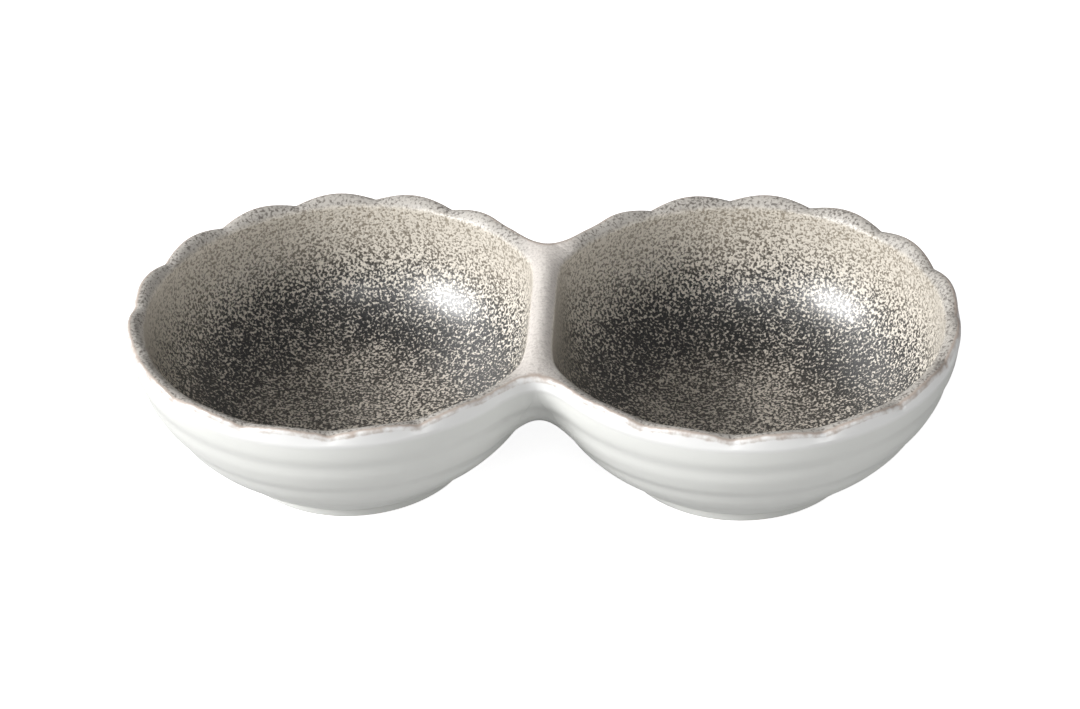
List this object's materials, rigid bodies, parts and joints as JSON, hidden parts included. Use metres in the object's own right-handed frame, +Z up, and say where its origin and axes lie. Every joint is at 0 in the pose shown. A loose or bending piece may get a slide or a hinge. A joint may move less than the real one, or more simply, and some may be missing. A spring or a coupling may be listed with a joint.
{
  "type": "chip and dip dish",
  "caption": "Twin-bowl pottery serving dish: round bowls joined at a waist, dividing ridge, scalloped lip, arched gap below the waist, foot ring under each bowl.",
  "frame": {"origin": "centre of the dish's outline, on the surface it stands on", "axes": "+X along the line through the two bowls, +Z up out of the bowls, +Y across the dish"},
  "size_m": [0.2606, 0.137, 0.0552],
  "materials": {
    "white_glaze": "satin white glaze over soft throwing rings",
    "speckled_glaze": "glossy cream glaze densely speckled in black and brown",
    "mottled_glaze": "satin grey-beige mottled glaze that breaks to pinkish brown at the edge",
    "foot_clay": "white glazed side, bare wiped clay where it stands"
  },
  "bodies": {
    "root": {"body": "white_glaze", "left_lining": "speckled_glaze", "right_lining": "speckled_glaze", "lip_band": "mottled_glaze", "left_foot_ring": "foot_clay", "right_foot_ring": "foot_clay"}
  },
  "joints": []
}
